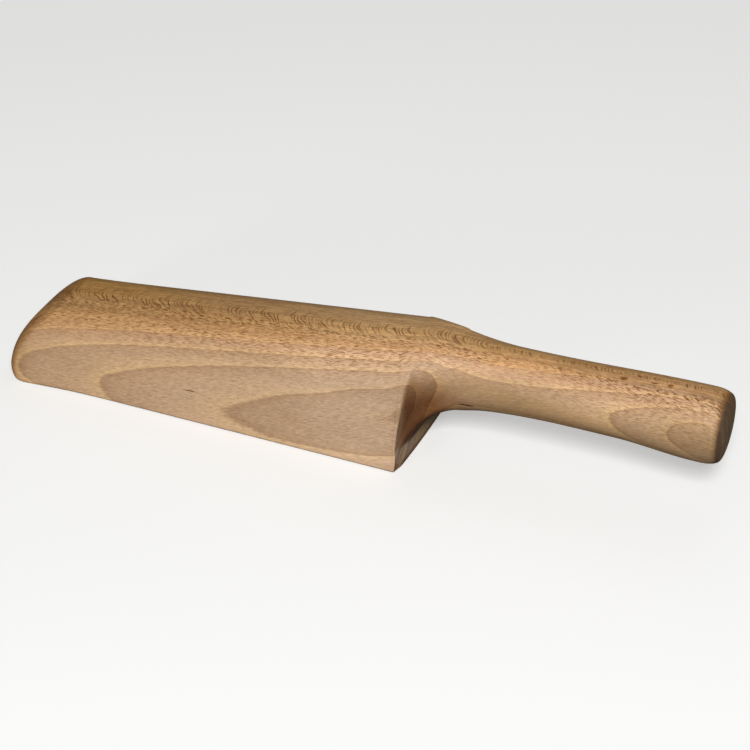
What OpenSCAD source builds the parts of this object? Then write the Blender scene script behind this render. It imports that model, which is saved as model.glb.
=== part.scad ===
// Wooden beater for dressing sheet metal: a long flat-soled head and a
// round handle, carved from one billet of beech.
// Millimetres. +X runs from the toe of the head to the butt of the handle,
// +Z is up, and the sole lies on z = 0. The origin is under the middle of
// the overall length.

/* [Overall] */
// Overall length, toe to butt
length = 360; // [330:5:390]
// Length of the head, toe to heel
head_l = 214.5; // [195:0.5:230]

/* [Head] */
// Width of the sole at the toe
toe_w = 70.4; // [60:0.2:80]
// Width of the sole at the heel
heel_w = 77.8; // [66:0.2:84]
// Height of the head at the heel
heel_h = 56.9; // [54:0.1:60]
// Fall of the back line towards the toe, in degrees
back_fall = 7; // [3:0.5:8]
// Inward lean of the side faces, in degrees
side_lean = 15.3; // [12:0.1:17]
// Radius between each side and the back
shoulder_r = 20.4; // [14:0.2:22]
// Radius along the edges of the sole
sole_edge_r = 1.2; // [0.6:0.1:2.5]
// Crown of the narrow flat along the back
crown = 0.5; // [0:0.1:1.5]
// Extra spread of the sole on each side at the toe
toe_spread = 3; // [0:0.1:5]

/* [Toe] */
// Height at which the toe reaches furthest forward
nose_z = 7.3; // [4:0.1:12]
// Backward sweep of the toe above that height, per mm squared
nose_sweep = 0.0236; // [0.01:0.0002:0.035]
// Length of the rounding all around the toe
toe_round = 10.1; // [6:0.1:14]

/* [Heel] */
// Height of the sawn end-grain strip under the handle
strip_h = 8.7; // [6:0.1:11]
// Bow of the heel across its width
heel_bow = 1; // [0:0.1:3]
// Edge radius where the sides meet the heel, at the sole
heel_edge_r = 0.9; // [0.6:0.1:3]
// The same radius halfway up the side
heel_soft_r = 2.6; // [1:0.1:5]
// How far the hollow bites into the side arris
side_bite = 2; // [0:0.1:3]
// How far the lower corner is rounded off
corner_bite = 1; // [0:0.1:2]
// Radius of the hollow from the sides into the handle
neck_r = 23; // [16:0.5:26]
// Length of that hollow along the handle at the lower corner
hollow_deep = 25; // [16:0.5:30]
// Radius over the ridge where the back ends
ridge_r = 63; // [30:1:90]
// Radius of the hollow from the ridge into the handle
ridge_hollow_r = 190; // [90:5:260]
// Distance of the ridge beyond the heel
ridge_x = 8; // [4:0.5:14]

/* [Handle] */
// Height of the handle's axis above the sole
axis_z = 40.2; // [38:0.1:42]
// Half width of the handle at its waist
waist_side = 15.8; // [14:0.1:17.5]
// Half height above the axis at the waist
waist_up = 16.6; // [14:0.1:17.5]
// Half height below the axis at the waist
waist_down = 14.65; // [14:0.1:17.5]
// Half width gained at the swell by the butt
swell_side = 1.7; // [0:0.1:3]
// Height gained at the top of the swell
swell_up = 1.6; // [0:0.1:3]
// Height gained under the swell
swell_down = 3.1; // [0:0.1:4]
// Length of the rounding at the butt
butt_round = 8.5; // [4:0.5:12]
// Half width of the sawn oval at the butt
butt_side = 15.5; // [12:0.1:16]
// Half height of the sawn oval at the butt
butt_up = 14.6; // [12:0.1:16]

/* [Hidden] */

x_sec = 4.8;            // station where the toe width is taken
// samples along half a section: sole, sole edge, side, shoulder, back
NS = [6, 3, 10, 10, 4];
K = NS[0] + NS[1] + NS[2] + NS[3] + NS[4];
C1 = NS[0];
C2 = C1 + NS[1];
C3 = C2 + NS[2];
C4 = C3 + NS[3];

function clamp(v, lo, hi) = min(max(v, lo), hi);
function ease(u) = let (v = clamp(u, 0, 1)) v * v * (3 - 2 * v);

// ---- head section at station x: point i of the half outline, [y, z] ----
function spread(x) = toe_spread * exp(-pow((x - x_sec) / 26, 2));
function half_w(x) = toe_w / 2
    + (heel_w - toe_w) / 2 * clamp((x - x_sec) / (head_l - x_sec), 0, 1) + spread(x);
function head_h(x) = heel_h + (x - head_l) * tan(back_fall);
function lean(x) = atan(tan(side_lean) + spread(x) / 33);
function section(x, i) =
    let (a = lean(x), w = half_w(x), h = head_h(x), r = sole_edge_r, R = shoulder_r)
    let (ey = w - r * (1 + sin(a)) / cos(a), sy = w - (h - R) * tan(a) - R / cos(a))
    i < C1 ? [ey * i / C1, 0] :
    i < C2 ? let (t = -90 + (a + 90) * (i - C1) / NS[1]) [ey + r * cos(t), r + r * sin(t)] :
    i < C3 ? let (t = (i - C2) / NS[2],
                  p = [ey + r * cos(a), r + r * sin(a)],
                  q = [sy + R * cos(a), h - R + R * sin(a)]) p + (q - p) * t :
    i < C4 ? let (t = a + (90 - a) * (i - C3) / NS[3]) [sy + R * cos(t), h - R + R * sin(t)] :
    let (t = (i - C4) / (NS[4] - 1)) [sy * (1 - t), h + crown * (1 - (1 - t) * (1 - t))];

// ---- toe: swept-back nose, rounded all around ----
function nose_x(z) = let (d = z - nose_z)
    d > 0 ? nose_sweep * d * d : 0.067 * d * d;
head_start = [for (i = [0:K - 1]) nose_x(section(24, i)[1]) + toe_round];
toe_edge = [for (i = [0:K - 1]) section(head_start[i], i)];
pole_z = nose_z + 2;
toe_rings = 11;
function toe_ring(k) = [for (i = [0:K - 1])
    let (y = toe_edge[i][0] * k, z = pole_z + (toe_edge[i][1] - pole_z) * k)
    [nose_x(z) + toe_round * (1 - pow(1 - pow(k, 3), 1 / 3)), y, z]];

// ---- handle: radius in direction f about the axis, at station x ----
function handle_r(x, f) =
    let (a = waist_side + swell_side * ease((x - 276) / 74) + 2.25 * pow(max(0, 273.5 - x) / 59, 2),
         u = waist_up + swell_up * ease((x - 267) / 77),
         d = waist_down + swell_down * ease((x - 311) / 38) + 7.85 * pow(max(0, 286 - x) / 71.5, 2)
             + 1.5 * exp(-pow((x - 232) / 9, 2)),
         v = f > 0 ? u : d)
    1 / sqrt(pow(cos(f) / a, 2) + pow(sin(f) / v, 2));

// ---- heel: each direction f runs over a convex edge, down the sawn strip
//      where there is one, and out of a hollow into the handle ----
heel = [for (i = [0:K - 1]) section(head_l, i)];
dirs = [for (p = heel) atan2(p[1] - axis_z, p[0])];
// 0 at the sides and underneath, 1 over the back
tops = [for (f = dirs) ease((f + 5.7) / 68.2)];
wide = [for (f = dirs) ease((f + 30) / 75)];
edges = [for (f = dirs)
    let (t = ease((f + 15) / 67), arris = heel_edge_r + (heel_soft_r - heel_edge_r) * ease((f + 45) / 40))
    exp(ln(arris) * (1 - t) + ln(ridge_r) * t)];
rises = [for (f = dirs) back_fall * clamp((f - 10) / 50, 0, 1)];
bites = [for (f = dirs)
    side_bite * ease((f + 47) / 9) * (1 - ease((f + 34) / 50)) + corner_bite * exp(-pow((f + 46.7) / 3, 2))];
edge_x = [for (i = [0:K - 1])
    head_l - heel_bow * pow(heel[i][0] / (heel_w / 2), 2) - 0.7 * edges[i] * (1 - tops[i])
    + tops[i] * ridge_x - bites[i]];
edge_c = [for (i = [0:K - 1])
    norm([heel[i][0], heel[i][1] - axis_z])
    + tan(rises[i]) * (edge_x[i] - edges[i] * sin(rises[i]) - head_l) - edges[i] * cos(rises[i])];
neck0 = [for (i = [0:K - 1]) handle_r(head_l, dirs[i])];
// the hollow stops at the sawn strip below, and runs out through the arris at the side
most = [for (f = dirs) 82 - 8 * ease((-36 - f) / 14)];
side_reach = [for (i = [0:K - 1]) edge_c[i] + edges[i] * cos(most[i])];
strip_reach = [for (f = dirs) f < -11.5 ? (axis_z - strip_h) / max(-sin(f), 0.2) : 200];
reach = [for (i = [0:K - 1])
    min(side_reach[i], -1.5 * ln(exp(-strip_reach[i] / 1.5) + exp(-side_reach[i] / 1.5)))];
held = [for (i = [0:K - 1])
    dirs[i] < 0 && (strip_reach[i] < side_reach[i]
        || acos(clamp((neck0[i] + neck_r - edge_c[i]) / (edges[i] + neck_r), -1, 1)) > most[i])];
low_r = [for (i = [0:K - 1]) held[i] ? (reach[i] - neck0[i]) / (1 - cos(most[i])) : neck_r];
hollows = [for (i = [0:K - 1]) exp(ln(low_r[i]) * (1 - wide[i]) + ln(ridge_hollow_r) * wide[i])];
meets = [for (i = [0:K - 1]) acos(clamp((neck0[i] + hollows[i] - edge_c[i]) / (edges[i] + hollows[i]), 0, 1))];
turns = [for (i = [0:K - 1]) held[i] ? most[i] : meets[i]];
edge_turns = [for (i = [0:K - 1])
    held[i] ? most[i] + (90 - most[i]) * ease(side_reach[i] - reach[i]) : meets[i]];
strip_x = [for (i = [0:K - 1]) edge_x[i] + edges[i] * sin(edge_turns[i])];
strip_top = [for (i = [0:K - 1]) edge_c[i] + edges[i] * cos(edge_turns[i])];
strips = [for (i = [0:K - 1]) max(strip_top[i] - neck0[i] - hollows[i] * (1 - cos(turns[i])), 0)];
// where the hollow has far to reach it is drawn out that way only
drawn = [for (i = [0:K - 1]) 1 - (1 - hollow_deep / max(low_r[i], hollow_deep)) * (1 - wide[i])];
head_end = [for (i = [0:K - 1]) edge_x[i] - edges[i] * sin(rises[i])];
hollow_end = [for (i = [0:K - 1]) strip_x[i] + drawn[i] * hollows[i] * sin(turns[i])];

function polar(x, r, f) = [x, r * cos(f), axis_z + r * sin(f)];
head_rings = 16;
function head_ring(t) = [for (i = [0:K - 1])
    let (x = head_start[i] + (head_end[i] - head_start[i]) * t, p = section(x, i)) [x, p[0], p[1]]];
gap = [for (i = [0:K - 1])
    let (p = section(head_end[i], i))
    norm([p[0], p[1] - axis_z]) - edge_c[i] - edges[i] * cos(rises[i])];
edge_rings = 5;
function edge_ring(t) = [for (i = [0:K - 1])
    let (a = -rises[i] + (edge_turns[i] + rises[i]) * t)
    polar(edge_x[i] + edges[i] * sin(a), edge_c[i] + edges[i] * cos(a) + gap[i] * (1 - ease(t)), dirs[i])];
function strip_ring() = [for (i = [0:K - 1])
    polar(strip_x[i], strip_top[i] - strips[i], dirs[i])];
hollow_rings = 10;
function hollow_ring(t) = [for (i = [0:K - 1])
    let (a = turns[i] * (1 - t), x = hollow_end[i] - drawn[i] * hollows[i] * sin(a))
    polar(x, hollows[i] * (1 - cos(a)) + handle_r(x, dirs[i]), dirs[i])];
grip_rings = 18;
grip_end = length - butt_round;
function grip_ring(t) = [for (i = [0:K - 1])
    let (x = hollow_end[i] + (grip_end - hollow_end[i]) * t) polar(x, handle_r(x, dirs[i]), dirs[i])];
butt_rings = 7;
function butt_r(f) = 1 / sqrt(pow(cos(f) / butt_side, 2) + pow(sin(f) / butt_up, 2));
function butt_ring(a) = [for (f = dirs)
    let (r1 = handle_r(grip_end, f), r0 = butt_r(f))
    polar(grip_end + butt_round * sin(a), r0 + (r1 - r0) * cos(a), f)];

// ---- the skin: half rings mirrored into whole ones ----
half_rings = concat(
    [for (j = [1:toe_rings - 1]) toe_ring(sin(90 * j / toe_rings))],
    [for (j = [0:head_rings]) head_ring(j / head_rings)],
    [for (j = [1:edge_rings]) edge_ring(j / edge_rings)],
    [strip_ring()],
    [for (j = [1:hollow_rings]) hollow_ring(j / hollow_rings)],
    [for (j = [1:grip_rings]) grip_ring(j / grip_rings)],
    [for (j = [1:butt_rings]) butt_ring(90 * j / butt_rings)]);
M = 2 * K - 2;
rings = [for (r = half_rings) concat(r, [for (i = [K - 2:-1:1]) [r[i][0], -r[i][1], r[i][2]]])];
NR = len(rings);

module beater() {
    color([0.72, 0.57, 0.41])
    translate([-length / 2, 0, 0])
    polyhedron(
        points = concat([[nose_x(pole_z), 0, pole_z]], [for (r = rings) each r]),
        faces = concat(
            [for (i = [0:M - 1]) [0, 1 + i, 1 + (i + 1) % M]],
            [for (j = [0:NR - 2], i = [0:M - 1])
                let (a = 1 + j * M + i, b = 1 + j * M + (i + 1) % M) each [[a, a + M, b + M], [a, b + M, b]]],
            [[for (i = [0:M - 1]) 1 + (NR - 1) * M + (M - 1 - i)]]),
        convexity = 4);
}

beater();
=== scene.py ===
import math

import bpy
import numpy as np
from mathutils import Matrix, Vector


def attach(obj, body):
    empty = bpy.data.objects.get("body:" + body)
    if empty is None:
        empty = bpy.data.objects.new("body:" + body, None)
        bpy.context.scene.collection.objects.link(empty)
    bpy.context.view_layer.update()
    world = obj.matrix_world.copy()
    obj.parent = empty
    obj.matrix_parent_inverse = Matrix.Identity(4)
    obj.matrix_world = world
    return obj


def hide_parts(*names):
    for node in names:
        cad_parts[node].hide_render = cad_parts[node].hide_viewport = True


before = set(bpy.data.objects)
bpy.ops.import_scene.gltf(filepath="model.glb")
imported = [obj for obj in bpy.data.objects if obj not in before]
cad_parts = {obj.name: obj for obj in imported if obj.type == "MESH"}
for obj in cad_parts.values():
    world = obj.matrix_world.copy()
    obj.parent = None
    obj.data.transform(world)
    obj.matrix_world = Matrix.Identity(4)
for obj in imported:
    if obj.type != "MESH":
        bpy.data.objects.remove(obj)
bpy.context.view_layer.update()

# ---------------------------------------------------------------- camera
# The view of the photograph, in millimetres: where it looks, from how far and from what angle.
LOOK_AT = (7.05, 0.0, 25.85)
AZIMUTH, ELEVATION, DISTANCE, LENS = 22.851, 32.816, 1152.96, 115.2

az, el = math.radians(AZIMUTH), math.radians(ELEVATION)
back = Vector((math.sin(az) * math.cos(el), -math.cos(az) * math.cos(el), math.sin(el)))
camera_data = bpy.data.cameras.new("view")
camera_data.lens = LENS
camera_data.sensor_width = 36.0
camera_data.clip_start, camera_data.clip_end = 0.05, 50.0
camera = bpy.data.objects.new("view", camera_data)
bpy.context.scene.collection.objects.link(camera)
camera.location = (Vector(LOOK_AT) + back * DISTANCE) / 1000
camera.rotation_mode = "QUATERNION"
camera.rotation_quaternion = (-back).to_track_quat("-Z", "Y")
bpy.context.scene.camera = camera

# ---------------------------------------------------------------- shape, in millimetres
# The same sections as the frame's solid, drawn more finely. X runs from the toe to the butt.
LENGTH, HEAD_L = 360.0, 214.5
TOE_W, HEEL_W, HEEL_H = 70.4, 77.8, 56.9
FALL, LEAN = math.radians(7.0), 15.3
SHOULDER_R, SOLE_R, CROWN, TOE_SPREAD = 20.4, 1.2, 0.5, 3.0
NOSE_Z, NOSE_SWEEP, TOE_ROUND = 7.3, 0.0236, 10.1
HEEL_BOW, EDGE_R, SOFT_R, NECK_R = 1.0, 0.9, 2.6, 23.0
STRIP_H, UNDER_TURN, CORNER_TURN, BITE, CORNER_BITE = 8.7, 74.0, 82.0, 2.0, 1.0
HOLLOW_DEEP = 25.0
RIDGE_R, RIDGE_HOLLOW, RIDGE_X = 63.0, 190.0, 8.0
AXIS_Z = 40.2
WAIST_SIDE, WAIST_UP, WAIST_DOWN = 15.8, 16.6, 14.65
SWELL_SIDE, SWELL_UP, SWELL_DOWN = 1.7, 1.6, 3.1
BUTT_ROUND, BUTT_SIDE, BUTT_UP = 8.5, 15.5, 14.6
WIDEST = 4.8
# How many steps the mesh takes: round half a section, then along each stretch.
ROUND = (30, 6, 36, 34, 10)
TOE_N, HEAD_N, EDGE_N, STRIP_N, HOLLOW_N, GRIP_N, BUTT_N = 32, 130, 12, 6, 32, 92, 22


def ease(u):
    u = np.clip(u, 0, 1)
    return u * u * (3 - 2 * u)


def spread(x):
    return TOE_SPREAD * np.exp(-(((x - WIDEST) / 26.0) ** 2))


def half_width(x):
    run = np.clip((x - WIDEST) / (HEAD_L - WIDEST), 0, 1)
    return TOE_W / 2 + (HEEL_W - TOE_W) / 2 * run + spread(x)


def head_height(x):
    return HEEL_H + (x - HEAD_L) * math.tan(FALL)


def lean(x):
    return np.arctan(math.tan(math.radians(LEAN)) + spread(x) / 33.0)


def section(x, kind, t):
    """y and z of half a head section: sole, lower arris, side, shoulder and back."""
    a, w, h = lean(x), half_width(x), head_height(x)
    r, R = SOLE_R, SHOULDER_R
    foot = w - r * (1 + np.sin(a)) / np.cos(a)
    top = w - (h - R) * np.tan(a) - R / np.cos(a)
    y, z = np.zeros_like(x), np.zeros_like(x)
    m = kind == 0
    y[m] = (foot * t)[m]
    m = kind == 1
    th = -np.pi / 2 + (a + np.pi / 2) * t
    y[m], z[m] = (foot + r * np.cos(th))[m], (r + r * np.sin(th))[m]
    m = kind == 2
    y0, z0 = foot + r * np.cos(a), r + r * np.sin(a)
    y1, z1 = top + R * np.cos(a), h - R + R * np.sin(a)
    y[m], z[m] = (y0 + (y1 - y0) * t)[m], (z0 + (z1 - z0) * t)[m]
    m = kind == 3
    th = a + (np.pi / 2 - a) * t
    y[m], z[m] = (top + R * np.cos(th))[m], (h - R + R * np.sin(th))[m]
    m = kind == 4
    y[m], z[m] = (top * (1 - t))[m], (h + CROWN * (1 - (1 - t) ** 2))[m]
    return y, z


def nose(z):
    d = z - NOSE_Z
    return np.where(d > 0, NOSE_SWEEP * d * d, 0.067 * d * d)


def handle_radius(x, f):
    a = WAIST_SIDE + SWELL_SIDE * ease((x - 276) / 74.0) + 2.25 * (np.maximum(0, 273.5 - x) / 59.0) ** 2
    u = WAIST_UP + SWELL_UP * ease((x - 267) / 77.0)
    d = WAIST_DOWN + SWELL_DOWN * ease((x - 311) / 38.0) + 7.85 * (np.maximum(0, 286 - x) / 71.5) ** 2
    d += 1.5 * np.exp(-(((x - 232) / 9.0) ** 2))
    v = np.where(f > 0, u, d)
    return 1 / np.sqrt((np.cos(f) / a) ** 2 + (np.sin(f) / v) ** 2)


def beater_rings():
    """Rings of points from the toe to the butt, each a closed loop, and the point of the toe."""
    kind, t = [], []
    for k, n in enumerate(ROUND):
        kind += [k] * n
        t += list(np.arange(n) / (n if k < 4 else n - 1))
    kind, t = np.array(kind), np.array(t, float)
    count = len(kind)

    def at(x):
        return section(np.broadcast_to(np.asarray(x, float), (count,)).copy(), kind, t)

    y24, z24 = at(24.0)
    start = nose(z24) + TOE_ROUND
    toe_y, toe_z = at(start)
    tip_z = NOSE_Z + 2
    rings = []
    for j in range(1, TOE_N):
        k = np.sin(np.pi / 2 * j / TOE_N)
        y, z = toe_y * k, tip_z + (toe_z - tip_z) * k
        rings.append(np.stack([nose(z) + TOE_ROUND * (1 - (1 - k**3) ** (1 / 3)), y, z], -1))
    heel_y, heel_z = at(HEAD_L)
    f = np.arctan2(heel_z - AXIS_Z, heel_y)
    deg, cf, sf = np.degrees(f), np.cos(f), np.sin(f)
    # Over the top the edge opens out into the ridge; lower down it is a soft arris, sharper towards the sole.
    tops = ease((deg + 5.7) / 68.2)
    opened = ease((deg + 15) / 67)
    wide = ease((deg + 30) / 75)
    arris = EDGE_R + (SOFT_R - EDGE_R) * ease((deg + 45) / 40)
    e = np.exp(np.log(arris) * (1 - opened) + np.log(RIDGE_R) * opened)
    slope = FALL * np.clip((deg - 10) / 50, 0, 1)
    bite = BITE * ease((deg + 47) / 9) * (1 - ease((deg + 34) / 50)) + CORNER_BITE * np.exp(-(((deg + 46.7) / 3) ** 2))
    ex = HEAD_L - HEEL_BOW * (heel_y / (HEEL_W / 2)) ** 2 - 0.7 * e * (1 - tops) + tops * RIDGE_X - bite
    ec = np.hypot(heel_y, heel_z - AXIS_Z) + np.tan(slope) * (ex - e * np.sin(slope) - HEAD_L) - e * np.cos(slope)
    n0 = handle_radius(np.full(count, HEAD_L), f)
    # Below, the hollow stops at the sawn strip; at the side it runs out through the arris.
    most = np.radians(CORNER_TURN + (UNDER_TURN - CORNER_TURN) * ease((-36 - deg) / 14))
    side_reach = ec + e * np.cos(most)
    strip_reach = np.where(f < -0.2, (AXIS_Z - STRIP_H) / np.maximum(-sf, 0.2), 200.0)
    reach = np.minimum(side_reach, -1.5 * np.log(np.exp(-strip_reach / 1.5) + np.exp(-side_reach / 1.5)))
    free_turn = np.arccos(np.clip((n0 + NECK_R - ec) / (e + NECK_R), -1, 1))
    held = (f < 0) & ((free_turn > most) | (strip_reach < side_reach))
    low_c = np.where(held, (reach - n0) / (1 - np.cos(most)), NECK_R)
    c = np.exp(np.log(low_c) * (1 - wide) + np.log(RIDGE_HOLLOW) * wide)
    meet = np.arccos(np.clip((n0 + c - ec) / (e + c), 0, 1))
    hollow_turn = np.where(held, most, meet)
    edge_turn = np.where(held, most + (np.pi / 2 - most) * ease(side_reach - reach), meet)
    strip_x, strip_top = ex + e * np.sin(edge_turn), ec + e * np.cos(edge_turn)
    strip = np.maximum(strip_top - n0 - c * (1 - np.cos(hollow_turn)), 0)
    head_end = ex - e * np.sin(slope)
    # Where the hollow has far to reach, to the lower corner, it is drawn out that way only.
    drawn = 1 - (1 - HOLLOW_DEEP / np.maximum(low_c, HOLLOW_DEEP)) * (1 - wide)
    hollow_end = strip_x + drawn * c * np.sin(hollow_turn)

    def polar(x, r):
        return np.stack([x, r * cf, AXIS_Z + r * sf], -1)

    for j in range(HEAD_N + 1):
        x = start + (head_end - start) * j / HEAD_N
        y, z = at(x)
        rings.append(np.stack([x, y, z], -1))
    y, z = at(head_end)
    gap = np.hypot(y, z - AXIS_Z) - ec - e * np.cos(slope)
    for j in range(1, EDGE_N + 1):
        s = j / EDGE_N
        a = -slope + (edge_turn + slope) * s
        rings.append(polar(ex + e * np.sin(a), ec + e * np.cos(a) + gap * (1 - ease(s))))
    for j in range(1, STRIP_N + 1):
        rings.append(polar(strip_x, strip_top - strip * j / STRIP_N))
    for j in range(1, HOLLOW_N + 1):
        a = hollow_turn * (1 - j / HOLLOW_N)
        x = hollow_end - drawn * c * np.sin(a)
        rings.append(polar(x, c * (1 - np.cos(a)) + handle_radius(x, f)))
    grip_end = LENGTH - BUTT_ROUND
    for j in range(1, GRIP_N + 1):
        x = hollow_end + (grip_end - hollow_end) * j / GRIP_N
        rings.append(polar(x, handle_radius(x, f)))
    r1 = handle_radius(np.full(count, grip_end), f)
    r0 = 1 / np.sqrt((cf / BUTT_SIDE) ** 2 + (sf / BUTT_UP) ** 2)
    for j in range(1, BUTT_N + 1):
        a = np.pi / 2 * j / BUTT_N
        rings.append(polar(np.full(count, grip_end + BUTT_ROUND * np.sin(a)), r0 + (r1 - r0) * np.cos(a)))
    far = np.array(rings)
    far[:, :, 0] -= LENGTH / 2
    # The hollow's lower quarter is scraped smooth by hand.
    first = TOE_N + HEAD_N + EDGE_N + STRIP_N
    rows = slice(first, first + HOLLOW_N + 24)
    where = ease((deg + 82) / 14) * (1 - ease((deg + 12) / 14))
    for k in range(30):
        part = far[rows]
        even = part.copy()
        even[:, 1:-1] = (part[:, :-2] + 2 * part[:, 1:-1] + part[:, 2:]) / 4
        deep = np.clip(np.arange(len(part)) / 6, 0, 1)
        weight = deep[:, None] * where[None, :]
        far[rows] = part + (even - part) * weight[:, :, None]
    near = far[:, ::-1].copy()
    near[:, :, 1] *= -1
    tip = np.array([float(nose(np.array(tip_z))) - LENGTH / 2, 0.0, tip_z])
    return np.concatenate([far, near[:, 1:-1]], 1), tip


def beater_mesh():
    rings, tip = beater_rings()
    n, m = rings.shape[:2]
    points = [tip]
    points += list(rings.reshape(-1, 3))
    faces = []
    for i in range(m):
        faces.append((0, 1 + (i + 1) % m, 1 + i))
    for j in range(n - 1):
        a, b = 1 + j * m, 1 + (j + 1) * m
        for i in range(m):
            k = (i + 1) % m
            faces.append((a + i, a + k, b + k, b + i))
    # The flat of the butt, as shrinking rings round its middle.
    last = rings[-1]
    middle = np.array([last[0, 0], 0.0, last[:, 2].mean()])
    base = 1 + (n - 1) * m
    for s in (0.86, 0.7, 0.52, 0.32, 0.14):
        ring = middle + (last - middle) * s
        new = len(points)
        points += list(ring)
        for i in range(m):
            k = (i + 1) % m
            faces.append((base + i, base + k, new + k, new + i))
        base = new
    points.append(middle)
    for i in range(m):
        faces.append((base + i, base + (i + 1) % m, len(points) - 1))
    return np.array(points), faces


# ---------------------------------------------------------------- growth of the wood, in millimetres
# The plank was sawn to one side of the tree's heart, so its rings are shells round a bent line that
# runs past the near face. HEART_Y and HEART_Z are that line, as powers of x/180 from constant up, and
# BEND holds how far the shells are from round: rows are powers of (z - 30)/30, columns of x/180.
HEART_Y = (-58.02, 16.76, -2.56, -11.09, 14.09, 26.07)
HEART_Z = (29.72, 24.84, 30.34, -1.95, -28.75, -11.31)
BEND = (
    (0.0, 0.0, 0.2, -1.49, 6.08, 9.74),
    (2.97, 5.64, 3.38, 5.96, -0.11, -2.53),
    (-1.3, 4.66, -6.19, -3.69, 2.28, 5.92),
    (0.39, -4.28, -8.81, 4.23, 2.02, 5.95),
)
# Radius of each year's outer edge.
YEARS = (2.0, 7.0, 12.2, 17.7, 23.5, 29.28, 35.65, 40.93, 46.44, 52.0, 57.2, 62.6, 67.9, 73.5, 79.0, 84.6, 90.0)


# Single rings swell or dip a little on the near side: x and z of the middle, reach along x and z, years.
BUMPS = (
    (-70, 12, 14, 7, -0.05),
    (-122, 9, 10, 7, -0.07),
    (-60, 9, 12, 7, -0.05),
    (-20, 14, 14, 7, 0.28),
    (-8, 30, 14, 7, 0.09),
    (15, 8, 14, 7, -0.09),
    (20, 26, 14, 7, -0.25),
    (26, 48, 8, 5, 0.06),
    (41, 49, 7, 5.5, -0.5),
    (37, 41, 7, 5, -0.34),
    (56, 52, 9, 5, -0.22),
    (36, 36, 7, 4.5, -0.17),
    (126, 42, 9, 5, 0.08),
    (134, 37, 9, 5, 0.05),
    (140, 33, 9, 5, -0.13),
    (177, 42, 7, 7, 0.45),
    (35, 30, 7, 5, -0.27),
    (60, 30, 14, 8, 0.09),
    (90, 46, 16, 8, 0.08),
)


def power_sum(c, u):
    return sum(k * u**i for i, k in enumerate(c))


def ring_radius(p):
    u, w = p[:, 0] / 180, (p[:, 2] - 30) / 30
    r = np.hypot(p[:, 1] - power_sum(HEART_Y, u), p[:, 2] - power_sum(HEART_Z, u))
    for j, row in enumerate(BEND):
        r += power_sum(row, u) * w**j
    return r


def years(p):
    """Which year's wood a point is in, counted from the heart, with its fraction."""
    r = ring_radius(p)
    step = YEARS[-1] - YEARS[-2]
    grown = np.interp(r, YEARS, np.arange(len(YEARS)))
    grown = np.where(r > YEARS[-1], len(YEARS) - 1 + (r - YEARS[-1]) / step, grown)
    near = ease(-p[:, 1] / 12)
    for x, z, along, up, more in BUMPS:
        grown += more * near * np.exp(-(((p[:, 0] - x) / along) ** 2) - ((p[:, 2] - z) / up) ** 2)
    return grown


def round_surface(rings):
    """How far each ring's points lie round from the line where the surface runs with the rays: towards
    the near side is positive, in millimetres along the surface."""
    half = (rings.shape[1] + 2) // 2
    top = half - 1
    step = np.linalg.norm(np.diff(rings, axis=1, append=rings[:, :1]), axis=2)
    near = np.cumsum(np.concatenate([np.zeros((len(rings), 1)), step[:, top:-1]], 1), 1)
    far = np.cumsum(step[:, :top][:, ::-1], 1)[:, ::-1]
    line = np.interp(rings[:, top, 0], (-147, -113, -71, -31, 2, 30, 51, 80, 180), (0.5, 0.6, 2.4, 3.0, 5.9, 3.7, 3.4, 2.3, 2.3))
    return np.concatenate([-far, near], 1) - line[:, None]


def ray_depth(s):
    """How far across the rays a place on the surface is: level at the line itself, steeper away from it."""
    a = np.abs(s)
    return np.where(a < 16, a * a / 40, 6.4 + 0.8 * (a - 16))


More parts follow.
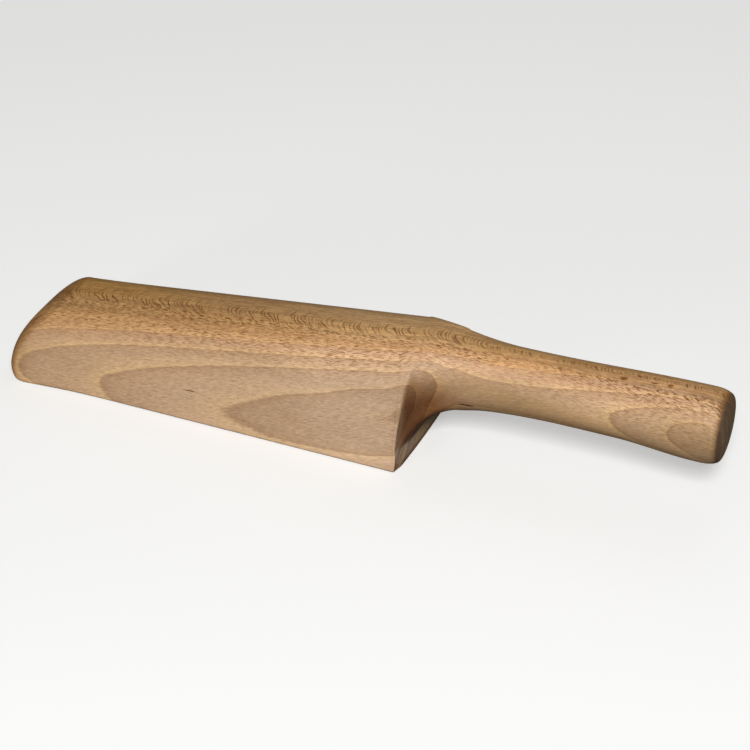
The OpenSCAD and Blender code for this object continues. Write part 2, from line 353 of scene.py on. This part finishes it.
# ---------------------------------------------------------------- nodes
class Tree:
    """Writes shader nodes as short lines."""

    def __init__(self, name):
        self.material = bpy.data.materials.new(name)
        self.material.use_nodes = True
        self.tree = self.material.node_tree
        self.shader = self.tree.nodes["Principled BSDF"]
        self.count = 0

    def node(self, kind, **settings):
        n = self.tree.nodes.new(kind)
        self.count += 1
        n.location = (-1800 + 40 * (self.count % 40), 600 - 40 * (self.count // 40))
        for key, value in settings.items():
            setattr(n, key, value)
        return n

    def put(self, socket, value):
        if isinstance(value, bpy.types.NodeSocket):
            self.tree.links.new(value, socket)
        elif value is not None:
            socket.default_value = value

    def math(self, op, a, b=None, c=None, clamp=False):
        n = self.node("ShaderNodeMath", operation=op, use_clamp=clamp)
        for i, value in enumerate((a, b, c)):
            self.put(n.inputs[i], value)
        return n.outputs[0]

    def vec(self, op, a, b=None, scale=None):
        n = self.node("ShaderNodeVectorMath", operation=op)
        self.put(n.inputs[0], a)
        self.put(n.inputs[1], b)
        if scale is not None:
            self.put(n.inputs["Scale"], scale)
        return n.outputs["Value"] if op in ("LENGTH", "DISTANCE", "DOT_PRODUCT") else n.outputs["Vector"]

    def attribute(self, name, vector=False):
        n = self.node("ShaderNodeAttribute", attribute_name=name)
        return n.outputs["Vector"] if vector else n.outputs["Fac"]

    def noise(self, vector, scale=1.0, detail=2.0, rough=0.5, kind="3D"):
        n = self.node("ShaderNodeTexNoise", noise_dimensions=kind)
        self.put(n.inputs["Vector"], vector)
        n.inputs["Scale"].default_value = scale
        n.inputs["Detail"].default_value = detail
        n.inputs["Roughness"].default_value = rough
        return n.outputs["Fac"]

    def steps(self, value, lo, hi, to_lo=0.0, to_hi=1.0, smooth=True):
        n = self.node("ShaderNodeMapRange", interpolation_type="SMOOTHSTEP" if smooth else "LINEAR", clamp=True) if smooth else self.node("ShaderNodeMapRange", clamp=True)
        self.put(n.inputs["Value"], value)
        n.inputs["From Min"].default_value = lo
        n.inputs["From Max"].default_value = hi
        n.inputs["To Min"].default_value = to_lo
        n.inputs["To Max"].default_value = to_hi
        return n.outputs["Result"]

    def ramp(self, value, stops, interpolation="LINEAR"):
        n = self.node("ShaderNodeValToRGB")
        n.color_ramp.interpolation = interpolation
        while len(n.color_ramp.elements) < len(stops):
            n.color_ramp.elements.new(0.5)
        for element, (place, colour) in zip(n.color_ramp.elements, stops):
            element.position = place
            element.color = (*colour, 1.0) if len(colour) == 3 else colour
        self.put(n.inputs["Fac"], value)
        return n.outputs["Color"]

    def mix(self, factor, a, b, kind="MIX"):
        n = self.node("ShaderNodeMix", data_type="RGBA", blend_type=kind)
        n.clamp_factor = True
        self.put(n.inputs[0], factor)
        for socket, value in ((n.inputs[6], a), (n.inputs[7], b)):
            if isinstance(value, tuple) and len(value) == 3:
                value = (*value, 1.0)
            self.put(socket, value)
        return n.outputs[2]


def srgb(r, g, b):
    """A colour given in 0-255 display values, as the shader wants it."""
    out = []
    for c in (r, g, b):
        c /= 255
        out.append(c / 12.92 if c <= 0.04045 else ((c + 0.055) / 1.055) ** 2.4)
    return tuple(out)


# Tone of the wood by year, counted from the heart: two stops at each year's edge and some between.
TONES = (
    (2.0, (196, 160, 126)),
    (3.98, (188, 152, 118)),
    (4.0, (204, 168, 132)),
    (4.15, (207, 170, 134)),
    (4.6, (205, 168, 132)),
    (4.985, (199, 161, 123)),
    (5.0, (226, 187, 143)),
    (5.14, (223, 184, 143)),
    (5.4, (216, 178, 141)),
    (5.8, (207, 168, 130)),
    (5.985, (199, 159, 121)),
    (6.0, (229, 189, 140)),
    (6.16, (225, 184, 140)),
    (6.5, (209, 170, 131)),
    (6.985, (197, 157, 118)),
    (7.0, (229, 188, 139)),
    (7.15, (222, 179, 134)),
    (7.5, (212, 170, 130)),
    (7.985, (207, 163, 120)),
    (8.0, (228, 180, 128)),
    (8.3, (221, 173, 121)),
    (8.97, (213, 164, 112)),
    (9.0, (226, 176, 119)),
    (9.97, (212, 164, 108)),
    (10.0, (226, 177, 117)),
    (10.97, (210, 162, 106)),
    (11.0, (224, 176, 118)),
    (11.97, (208, 160, 108)),
    (12.0, (222, 175, 120)),
    (14.0, (212, 166, 114)),
)
TONE_SPAN = 14.0


def beech():
    w = Tree("beech")
    place = w.node("ShaderNodeTexCoord").outputs["Object"]
    mm = w.vec("SCALE", place, scale=1000.0)
    year = w.attribute("year")
    surface = w.attribute("surface", vector=True)
    along = w.attribute("along")

    # The rings' edges waver a little along the grain.
    slow = w.noise(w.vec("MULTIPLY", mm, (0.05, 0.12, 0.12)), detail=2.0)
    fast = w.noise(w.vec("MULTIPLY", mm, (0.35, 1.6, 1.6)), detail=2.0)
    wander = w.math("ADD", w.math("MULTIPLY", w.math("SUBTRACT", slow, 0.5), 0.07),
                    w.math("MULTIPLY", w.math("SUBTRACT", fast, 0.5), 0.09))
    grown = w.math("ADD", year, wander)
    ground = w.ramp(w.math("DIVIDE", grown, TONE_SPAN), [(a / TONE_SPAN, srgb(*c)) for a, c in TONES])

    part = w.math("FRACT", grown)
    few = w.steps(grown, 8.3, 9.2, 1.0, 0.0)
    ground = w.mix(w.math("MULTIPLY", few, w.steps(part, 0.9, 0.975, 0.0, 0.75)), ground, w.mix(1.0, ground, (0.88, 0.83, 0.78, 1.0), "MULTIPLY"))
    ground = w.mix(w.math("MULTIPLY", few, w.steps(part, 0.0, 0.16, 0.8, 0.0)), ground, w.mix(1.0, ground, (1.05, 1.05, 1.0, 1.0), "MULTIPLY"))

    # Wide, long drifts of tone, and faint streaks of fibre.
    def shaded(colour, value, lo, hi, dark, light, smooth=True):
        shade = w.steps(value, lo, hi, dark, light, smooth)
        grey = w.node("ShaderNodeCombineColor")
        for i in range(3):
            w.put(grey.inputs[i], shade)
        return w.mix(1.0, colour, grey.outputs[0], "MULTIPLY")

    drift = w.noise(w.vec("MULTIPLY", mm, (0.015, 0.06, 0.06)), detail=2.0)
    ground = shaded(ground, drift, 0.3, 0.7, 0.95, 1.05)
    streak = w.noise(w.vec("MULTIPLY", mm, (0.03, 0.8, 0.8)), detail=3.0)
    ground = shaded(ground, streak, 0.3, 0.7, 0.965, 1.035)
    # The fibre climbs a little towards the butt.
    parts = w.node("ShaderNodeSeparateXYZ")
    w.put(parts.inputs[0], mm)
    climb = w.node("ShaderNodeCombineXYZ")
    w.put(climb.inputs[0], parts.outputs[0])
    w.put(climb.inputs[1], parts.outputs[1])
    w.put(climb.inputs[2], w.math("SUBTRACT", parts.outputs[2], w.math("MULTIPLY", parts.outputs[0], 0.22)))
    fine = w.noise(w.vec("MULTIPLY", climb.outputs[0], (0.34, 0.6, 1.7)), detail=3.0, rough=0.7)
    ground = shaded(ground, fine, 0.3, 0.7, 0.85, 1.15)

    # Rays: thin blades that stand out from the heart. Where the surface runs with them they show as
    # bowed flecks, and away from that line as short dashes.
    split = w.node("ShaderNodeSeparateXYZ")
    w.put(split.inputs[0], surface)
    x, s, depth = split.outputs
    wavy = w.node("ShaderNodeTexNoise", noise_dimensions="3D")
    w.put(wavy.inputs["Vector"], w.vec("MULTIPLY", surface, (0.11, 0.16, 0.0)))
    wavy.inputs["Detail"].default_value = 1.0
    sway = w.node("ShaderNodeSeparateXYZ")
    w.put(sway.inputs[0], w.vec("SUBTRACT", wavy.outputs["Color"], (0.5, 0.5, 0.5)))
    squared = w.math("MULTIPLY", s, s)
    bow = w.math("DIVIDE", w.math("MULTIPLY", squared, 0.1), w.math("ADD", 1.0, w.math("DIVIDE", squared, 64.0)))
    across = w.math("SUBTRACT", w.math("ADD", x, w.math("MULTIPLY", sway.outputs[0], 3.0)), bow)
    deep = w.math("ADD", depth, w.math("MULTIPLY", sway.outputs[1], 0.4))

    def dashes(deep, long, thick, shift, lo, hi, randomness=1.0):
        place = w.node("ShaderNodeCombineXYZ")
        w.put(place.inputs[0], w.math("DIVIDE", w.math("ADD", across, shift), long))
        w.put(place.inputs[1], w.math("DIVIDE", w.math("ADD", deep, shift), thick))
        n = w.node("ShaderNodeTexVoronoi", voronoi_dimensions="2D", feature="F1")
        w.put(n.inputs["Vector"], place.outputs[0])
        n.inputs["Scale"].default_value = 1.0
        n.inputs["Randomness"].default_value = randomness
        tint = w.node("ShaderNodeSeparateColor")
        w.put(tint.inputs[0], n.outputs["Color"])
        return w.math("MULTIPLY", w.steps(n.outputs["Distance"], lo, hi, 1.0, 0.0), w.steps(tint.outputs[0], 0.0, 1.0, 0.35, 1.0, smooth=False))

    lean_in = w.math("ADD", s, w.math("MULTIPLY", sway.outputs[1], 0.6))
    tilted = w.math("SUBTRACT", deep, w.math("MULTIPLY", across, 0.05))
    coarse = dashes(tilted, 4.6, 0.46, 0.0, 0.2, 0.38)
    small = dashes(tilted, 3.2, 0.36, 37.0, 0.2, 0.38)
    lean_in = w.math("ADD", lean_in, w.math("MULTIPLY", across, 0.03))
    face = dashes(lean_in, 6.0, 0.95, 71.0, 0.16, 0.33)
    face2 = dashes(lean_in, 4.4, 0.7, 113.0, 0.16, 0.33)
    place = w.node("ShaderNodeCombineXYZ")
    calm = w.noise(w.vec("MULTIPLY", surface, (0.12, 0.03, 0.0)), detail=1.0)
    over = w.math("ADD", s, 2.4)
    squared = w.math("MULTIPLY", over, over)
    swept = w.math("ADD", w.math("DIVIDE", w.math("MULTIPLY", squared, 0.125), w.math("ADD", 1.0, w.math("DIVIDE", squared, 64.0))), w.math("MULTIPLY", over, 0.4))
    w.put(place.inputs[0], w.math("DIVIDE", w.math("SUBTRACT", w.math("ADD", x, w.math("MULTIPLY", calm, 7.0)), swept), 2.0))
    w.put(place.inputs[1], w.math("ADD", w.math("DIVIDE", over, 20.0), 0.25))
    n = w.node("ShaderNodeTexVoronoi", voronoi_dimensions="2D", feature="F1")
    w.put(n.inputs["Vector"], place.outputs[0])
    n.inputs["Scale"].default_value = 1.0
    n.inputs["Randomness"].default_value = 0.5
    tint = w.node("ShaderNodeSeparateColor")
    w.put(tint.inputs[0], n.outputs["Color"])
    crowd = w.noise(w.vec("MULTIPLY", surface, (0.07, 0.03, 0.0)), detail=1.0)
    arcs = w.math("MULTIPLY", w.steps(n.outputs["Distance"], 0.17, 0.33, 1.0, 0.0), w.steps(tint.outputs[1], 0.0, 0.8, 0.35, 0.9, smooth=False))
    arcs = w.math("MULTIPLY", arcs, w.math("MULTIPLY", w.steps(w.math("ADD", w.math("ABSOLUTE", over), w.steps(x, -60.0, 20.0, 0.0, 2.2)), 5.0, 8.5, 1.0, 0.0), w.steps(crowd, 0.35, 0.6, 0.55, 1.0)))
    # On the handle only their middles show, as small dots.
    arcs = w.math("MULTIPLY", arcs, w.steps(w.math("ADD", w.math("ABSOLUTE", over), w.steps(x, 40.0, 75.0, 0.0, 6.4)), 6.8, 9.0, 1.0, 0.0))
    # They fade on the far side, and down the near face.
    mid = w.math("MULTIPLY", w.steps(s, 1.0, 5.0, 0.12, 1.0), w.steps(s, 10.0, 18.0, 1.0, 0.0))
    low = w.math("MULTIPLY", w.steps(s, 7.0, 13.0), w.math("MULTIPLY", w.steps(s, 20.0, 36.0, 0.95, 0.5), w.steps(s, 60.0, 68.0, 1.0, 0.2)))
    all_blades = w.math("MULTIPLY", w.math("MAXIMUM", coarse, w.math("MULTIPLY", small, 0.8)), mid)
    all_blades = w.math("MAXIMUM", all_blades, w.math("MULTIPLY", w.math("MAXIMUM", face, face2), w.math("MULTIPLY", low, w.steps(x, 40.0, 75.0, 1.0, 0.6))))
    all_blades = w.math("MAXIMUM", all_blades, arcs)
    # None show on the end grain.
    side_grain = w.steps(w.math("ABSOLUTE", along), 0.5, 0.8, 1.0, 0.0)
    all_blades = w.math("MULTIPLY", all_blades, side_grain)
    # Toward the toe the back is more golden, and the shoulder's middle stretch is the palest wood.
    golden = w.math("MULTIPLY", w.steps(x, -150.0, -60.0, 1.0, 0.2), w.math("MULTIPLY", w.steps(s, -6.0, 8.0, 1.0, 0.0), w.steps(s, -40.0, -24.0, 0.3, 1.0)))
    ground = w.mix(golden, ground, w.mix(1.0, ground, (0.97, 0.91, 0.64, 1.0), "MULTIPLY"))
    from_ridge = w.math("DIVIDE", w.math("SUBTRACT", x, 12.0), 44.0)
    pale = w.math("MULTIPLY", w.math("EXPONENT", w.math("MULTIPLY", w.math("MULTIPLY", from_ridge, from_ridge), -1.0)), w.steps(s, 4.0, 14.0, 1.0, 0.3))
    ground = w.mix(pale, ground, w.mix(1.0, ground, (1.09, 1.17, 1.32, 1.0), "MULTIPLY"))
    # The handle's near side is made darker next to the neck.
    held = w.math("MULTIPLY", w.steps(x, 45.0, 75.0), w.steps(s, 24.0, 36.0))
    ground = w.mix(held, ground, w.mix(1.0, ground, (0.88, 0.85, 0.75, 1.0), "MULTIPLY"))
    end = w.math("MULTIPLY", w.steps(x, 125.0, 165.0), w.math("MULTIPLY", w.steps(s, 8.0, 16.0), w.steps(s, 26.0, 34.0, 1.0, 0.0)))
    ground = w.mix(end, ground, w.mix(1.0, ground, (0.82, 0.79, 0.7, 1.0), "MULTIPLY"))
    low_toe = w.math("MULTIPLY", w.steps(x, -172.0, -160.0, 1.0, 0.0), w.steps(s, 18.0, 26.0))
    ground = w.mix(low_toe, ground, w.mix(1.0, ground, (0.86, 0.82, 0.72, 1.0), "MULTIPLY"))
    # Over the flecked line and beyond it the wood is browner and finely streaked.
    threads = w.noise(w.vec("MULTIPLY", surface, (0.05, 1.2, 0.0)), detail=4.0, rough=0.7)
    past = w.math("MULTIPLY", w.steps(s, 2.0, 9.0, 1.0, 0.0), w.math("MULTIPLY", w.steps(s, -38.0, -22.0, 0.35, 1.0), side_grain))
    ground = w.mix(w.math("MULTIPLY", past, w.steps(threads, 0.46, 0.62)), ground, w.mix(1.0, ground, (0.76, 0.7, 0.6, 1.0), "MULTIPLY"))
    ground = w.mix(w.math("MULTIPLY", past, w.steps(threads, 0.52, 0.36)), ground, w.mix(1.0, ground, (1.16, 1.13, 1.08, 1.0), "MULTIPLY"))
    far_out = w.math("DIVIDE", x, 60.0)
    middle = w.math("EXPONENT", w.math("MULTIPLY", w.math("MULTIPLY", far_out, far_out), -1.0))
    lift = w.math("ADD", w.math("MULTIPLY", w.math("MULTIPLY", middle, 0.22), w.math("MULTIPLY", w.steps(s, -8.0, 4.0), w.steps(s, 20.0, 34.0, 1.0, 0.3))),
                  w.math("ADD", 1.03, w.math("MULTIPLY", w.math("MULTIPLY", w.steps(s, 0.0, 7.0), w.steps(s, 18.0, 32.0, 1.0, 0.15)), 0.17)))
    grip = w.math("MULTIPLY", w.steps(x, 50.0, 75.0), w.math("MULTIPLY", w.steps(s, 3.0, 8.0), w.steps(s, 14.0, 22.0, 0.2, 0.0)))
    nose_top = w.math("MULTIPLY", w.steps(x, -168.0, -155.0, 0.3, 0.0), w.math("MULTIPLY", w.steps(s, 4.0, 9.0), w.steps(s, 15.0, 21.0, 1.0, 0.0)))
    foot = w.math("MULTIPLY", w.steps(s, 52.0, 64.0, 0.0, 0.03), w.steps(x, 20.0, 32.0, 1.0, 0.0))
    crest = w.math("MULTIPLY", w.steps(s, -12.0, -7.0), w.steps(s, -2.0, 4.0, 0.1, 0.0))
    lift = w.math("ADD", w.math("ADD", lift, grip), w.math("ADD", w.math("ADD", nose_top, foot), crest))
    ground = shaded(ground, lift, 0.0, 2.0, 0.0, 2.0, smooth=False)
    ground = w.mix(w.math("MULTIPLY", all_blades, w.steps(s, 14.0, 34.0, 1.0, 0.55)), ground, w.mix(1.0, ground, srgb(160, 124, 92), "MULTIPLY"))

    # Marks of use: a scratch on the side, a slit under the neck, smudges on the toe's edge and the handle.
    def mark(colour, at_x, at_s, half_x, half_s, slant, tint, soft=0.5):
        dx = w.math("SUBTRACT", x, at_x)
        ds = w.math("SUBTRACT", w.math("SUBTRACT", s, at_s), w.math("MULTIPLY", dx, slant))
        spot = w.node("ShaderNodeCombineXYZ")
        w.put(spot.inputs[0], w.math("DIVIDE", dx, half_x))
        w.put(spot.inputs[1], w.math("DIVIDE", w.math("ADD", ds, w.math("MULTIPLY", sway.outputs[2], half_s)), half_s))
        inside = w.steps(w.vec("LENGTH", spot.outputs[0]), soft, 1.0, 1.0, 0.0)
        return w.mix(inside, colour, w.mix(1.0, colour, tint, "MULTIPLY"))

    ground = mark(ground, -76.3, 49.6, 4.2, 0.4, 0.04, srgb(150, 122, 104))
    ground = mark(ground, 59.6, 53.6, 4.6, 1.1, -0.19, srgb(122, 88, 66))
    ground = mark(ground, -167.3, 20.9, 4.5, 1.3, -0.5, srgb(170, 140, 116), 0.2)
    for at_x, at_s, half_x, half_s in ((138.3, -2.2, 2.0, 0.6), (146.0, 0.6, 2.6, 0.8), (153.3, 0.2, 2.2, 1.9), (131.6, 1.4, 2.6, 1.8)):
        ground = mark(ground, at_x, at_s, half_x, half_s, -0.1, srgb(178, 146, 110), 0.3)

    # Across the grain the open pores take the light in, so the wood looks darker and browner.
    pores = w.noise(w.vec("MULTIPLY", mm, (0.4, 3.2, 3.2)), detail=3.0, rough=0.65)
    heel = w.ramp(along, (
        (0.22, (1.0, 1.0, 1.0)),
        (0.36, (0.84, 0.81, 0.76)),
        (0.52, (0.64, 0.57, 0.49)),
        (0.8, (0.43, 0.34, 0.28)),
        (0.93, (0.5, 0.43, 0.39)),
        (1.0, (0.68, 0.65, 0.66)),
    ))
    toe = w.ramp(w.math("MULTIPLY", along, -1.0), (
        (0.14, (1.0, 1.0, 1.0)),
        (0.26, (0.86, 0.8, 0.72)),
        (0.45, (0.86, 0.8, 0.7)),
        (1.0, (0.8, 0.74, 0.64)),
    ))
    ground = w.mix(1.0, ground, heel, "MULTIPLY")
    ground = w.mix(1.0, ground, toe, "MULTIPLY")
    ground = w.mix(w.steps(x, 177.0, 179.6), ground, w.mix(1.0, ground, (0.84, 0.87, 0.87, 1.0), "MULTIPLY"))
    # Painted shade darkens the hollow under the neck, over its darker end grain; painted light makes the sawn strip
    # below it paler, and it is greyer too.
    hollow = w.attribute("hollow")
    ground = w.mix(w.math("MAXIMUM", hollow, 0.0), ground, w.mix(1.0, ground, (0.62, 0.47, 0.35, 1.0), "MULTIPLY"))
    ground = w.mix(w.math("MAXIMUM", w.math("MULTIPLY", hollow, -1.0), 0.0), ground,
                   w.mix(1.0, ground, (1.25, 1.47, 1.75, 1.0), "MULTIPLY"))
    open_grain = w.steps(w.math("ABSOLUTE", along), 0.35, 0.9)
    ground = w.mix(w.math("MULTIPLY", open_grain, w.steps(pores, 0.45, 0.62, 0.0, 0.5)), ground,
                   w.mix(1.0, ground, srgb(170, 160, 150), "MULTIPLY"))

    w.put(w.shader.inputs["Base Color"], ground)
    w.shader.inputs["Specular IOR Level"].default_value = 0.35
    w.shader.inputs["Roughness"].default_value = 0.52

    grain = w.noise(w.vec("MULTIPLY", mm, (0.3, 2.6, 2.6)), detail=2.0, rough=0.6)
    bump = w.node("ShaderNodeBump")
    bump.inputs["Strength"].default_value = 0.2
    bump.inputs["Distance"].default_value = 0.0001
    w.put(bump.inputs["Height"], w.math("SUBTRACT", grain, w.math("MULTIPLY", all_blades, 0.5)))
    w.put(w.shader.inputs["Normal"], bump.outputs["Normal"])
    return w.material


# ---------------------------------------------------------------- the beater
points, faces = beater_mesh()
mesh = bpy.data.meshes.new("beater_wood")
mesh.from_pydata((points / 1000).tolist(), [], faces)
mesh.update()
for polygon in mesh.polygons:
    polygon.use_smooth = True
mesh.set_sharp_from_angle(angle=math.radians(50))

normals = np.zeros(len(points) * 3, np.float32)
mesh.vertices.foreach_get("normal", normals)
normals = normals.reshape(-1, 3)

mesh.attributes.new("year", "FLOAT", "POINT").data.foreach_set("value", years(points).astype(np.float32))
# Along the grain, round the surface from the flecked line, and across the rays.
rings = points[1:1 + ((len(points) - 2) // (2 * sum(ROUND) - 2)) * (2 * sum(ROUND) - 2)].reshape(-1, 2 * sum(ROUND) - 2, 3)
turned = np.concatenate([[0.0], round_surface(rings).ravel(), [0.0]])
place = np.stack([points[:, 0], turned, ray_depth(turned)], -1)
mesh.attributes.new("surface", "FLOAT_VECTOR", "POINT").data.foreach_set("vector", place.astype(np.float32).ravel())
# How far the surface turns to cut across the grain: -1 faces the toe's way, 1 the butt's. The rounded
# arris is rubbed smooth, so its grain is less open.
row = (np.arange(len(points)) - 1) // (2 * sum(ROUND) - 2)
edge_row = TOE_N + HEAD_N
hollow_row = edge_row + EDGE_N + STRIP_N
rubbed = np.clip((row - edge_row + 10) / 8, 0, 1) * np.clip((edge_row + EDGE_N + 1 - row) / 4, 0, 1)
mesh.attributes.new("along", "FLOAT", "POINT").data.foreach_set("value", (normals[:, 0] * (1 - 0.6 * rubbed)).astype(np.float32))
# 1 in the scraped hollow under the handle, darkened as painted shade on top of its darker end grain, and -1 on the
# sawn strip below it, made paler as painted light and greyer like sawn end grain.
in_hollow = (row > hollow_row) & (row < hollow_row + HOLLOW_N + GRIP_N)
on_strip = (row >= edge_row + EDGE_N) & (row <= hollow_row) & (points[:, 2] < STRIP_H + 8)
# The painted shade starts at the heel, fades along the neck and is deepest low down.
dark = ease((points[:, 0] - 32.6) / 1.8) * (1 - ease((points[:, 0] - 42) / 26)) * ease((52 - points[:, 2]) / 22)
mesh.attributes.new("hollow", "FLOAT", "POINT").data.foreach_set("value", (dark * in_hollow - 1.0 * on_strip).astype(np.float32))

wood = bpy.data.objects.new("beater_wood", mesh)
bpy.context.scene.collection.objects.link(wood)
mesh.materials.append(beech())
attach(wood, "root")
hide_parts("beater")

# ---------------------------------------------------------------- stage
floor_mesh = bpy.data.meshes.new("floor")
floor_mesh.from_pydata([(-4, -4, 0), (4, -4, 0), (4, 4, 0), (-4, 4, 0)], [], [(0, 1, 2, 3)])
floor = bpy.data.objects.new("floor", floor_mesh)
bpy.context.scene.collection.objects.link(floor)
paint = bpy.data.materials.new("floor")
paint.use_nodes = True
paint.node_tree.nodes["Principled BSDF"].inputs["Base Color"].default_value = (0.86, 0.86, 0.85, 1)
paint.node_tree.nodes["Principled BSDF"].inputs["Roughness"].default_value = 0.9
paint.node_tree.nodes["Principled BSDF"].inputs["Specular IOR Level"].default_value = 0.1
# The floor glows a little, as a light table does, and throws no light back onto the wood.
paint.node_tree.nodes["Principled BSDF"].inputs["Emission Color"].default_value = (1.0, 1.0, 0.99, 1)
paint.node_tree.nodes["Principled BSDF"].inputs["Emission Strength"].default_value = 0.42
floor_mesh.materials.append(paint)
floor.visible_diffuse = False
floor.visible_glossy = False

world = bpy.data.worlds.new("studio")
world.use_nodes = True
world.node_tree.nodes["Background"].inputs["Color"].default_value = (1.0, 1.0, 1.0, 1)
world.node_tree.nodes["Background"].inputs["Strength"].default_value = 0.07
bpy.context.scene.world = world


def lamp(name, azimuth, elevation, distance, size, power, colour=(1, 1, 1)):
    """A soft square lamp that looks at the beater's middle. Azimuth 0 is straight in front, at -Y."""
    a, e = math.radians(azimuth), math.radians(elevation)
    way = Vector((math.sin(a) * math.cos(e), -math.cos(a) * math.cos(e), math.sin(e)))
    data = bpy.data.lights.new(name, "AREA")
    data.shape = "RECTANGLE"
    data.size, data.size_y = size
    data.energy = power
    data.color = colour
    o = bpy.data.objects.new(name, data)
    bpy.context.scene.collection.objects.link(o)
    o.location = Vector((0, 0, 0.03)) + way * distance
    o.rotation_mode = "QUATERNION"
    o.rotation_quaternion = (-way).to_track_quat("-Z", "Y")
    return o


lamp("key", 25, 42, 2.0, (0.5, 0.5), 24)
lamp("low", -20, 8, 2.0, (0.5, 0.5), 7)
lamp("back", 180, 45, 2.0, (0.8, 0.8), 2)

bpy.context.scene.view_settings.view_transform = "Standard"
bpy.context.scene.view_settings.look = "None"
